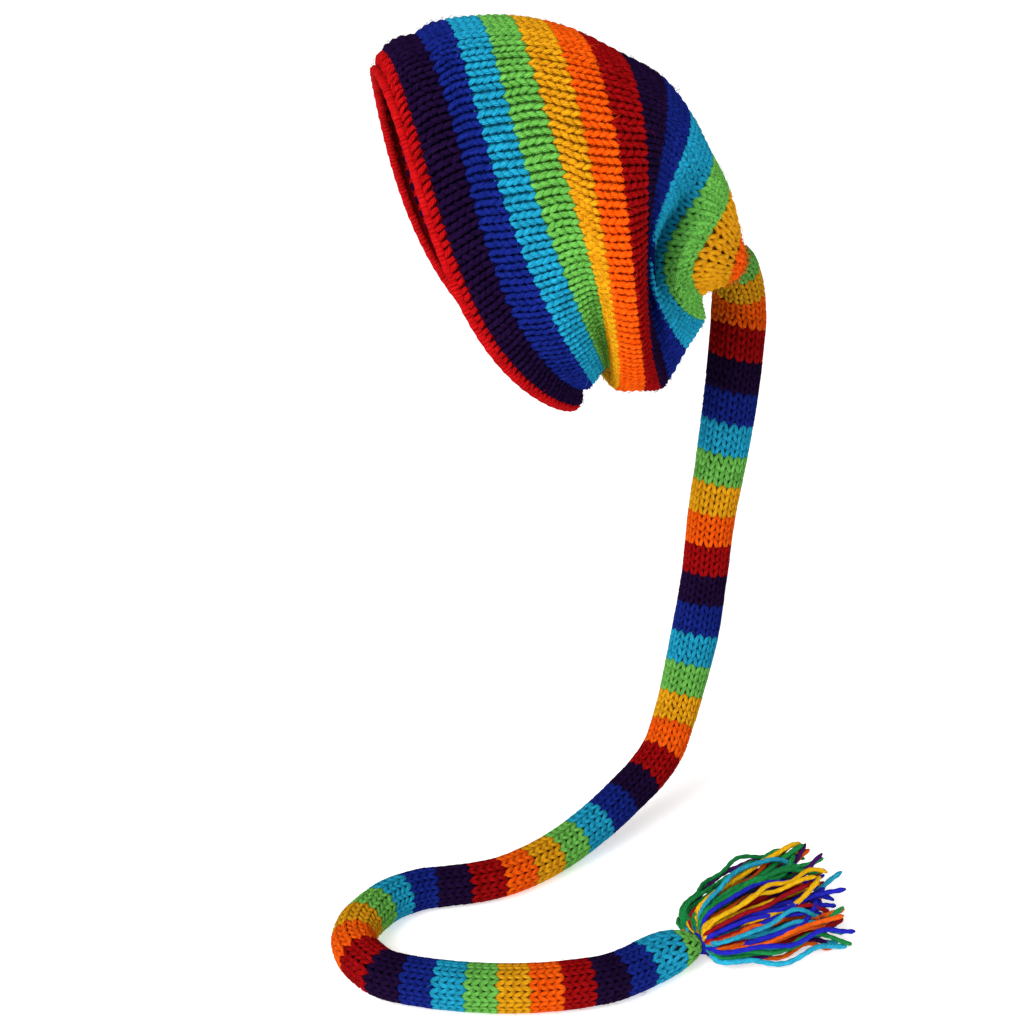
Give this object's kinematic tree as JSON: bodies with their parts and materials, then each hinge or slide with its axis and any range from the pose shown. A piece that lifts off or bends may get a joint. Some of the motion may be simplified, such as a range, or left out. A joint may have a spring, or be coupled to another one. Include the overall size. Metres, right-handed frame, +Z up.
{
  "type": "knit tail beanie",
  "caption": "Striped slouchy knitted hat whose crown folds into a long knitted tail ending in a yarn tassel.",
  "frame": {"origin": "where the inside of the crown rests on the top of the head", "axes": "+Z up, -Y the way the wearer faces, +X the wearer's left"},
  "size_m": [0.3, 0.2919, 0.5034],
  "materials": {
    "striped_knit": "soft matte wool in stripes of red, purple, blue, turquoise, green, yellow and orange",
    "tassel_yarn": "soft matte wool yarns in the same colours, mixed"
  },
  "bodies": {
    "root": {"rim_band": "striped_knit", "crown": "striped_knit", "tail": "striped_knit", "tassel": "tassel_yarn"}
  },
  "joints": []
}
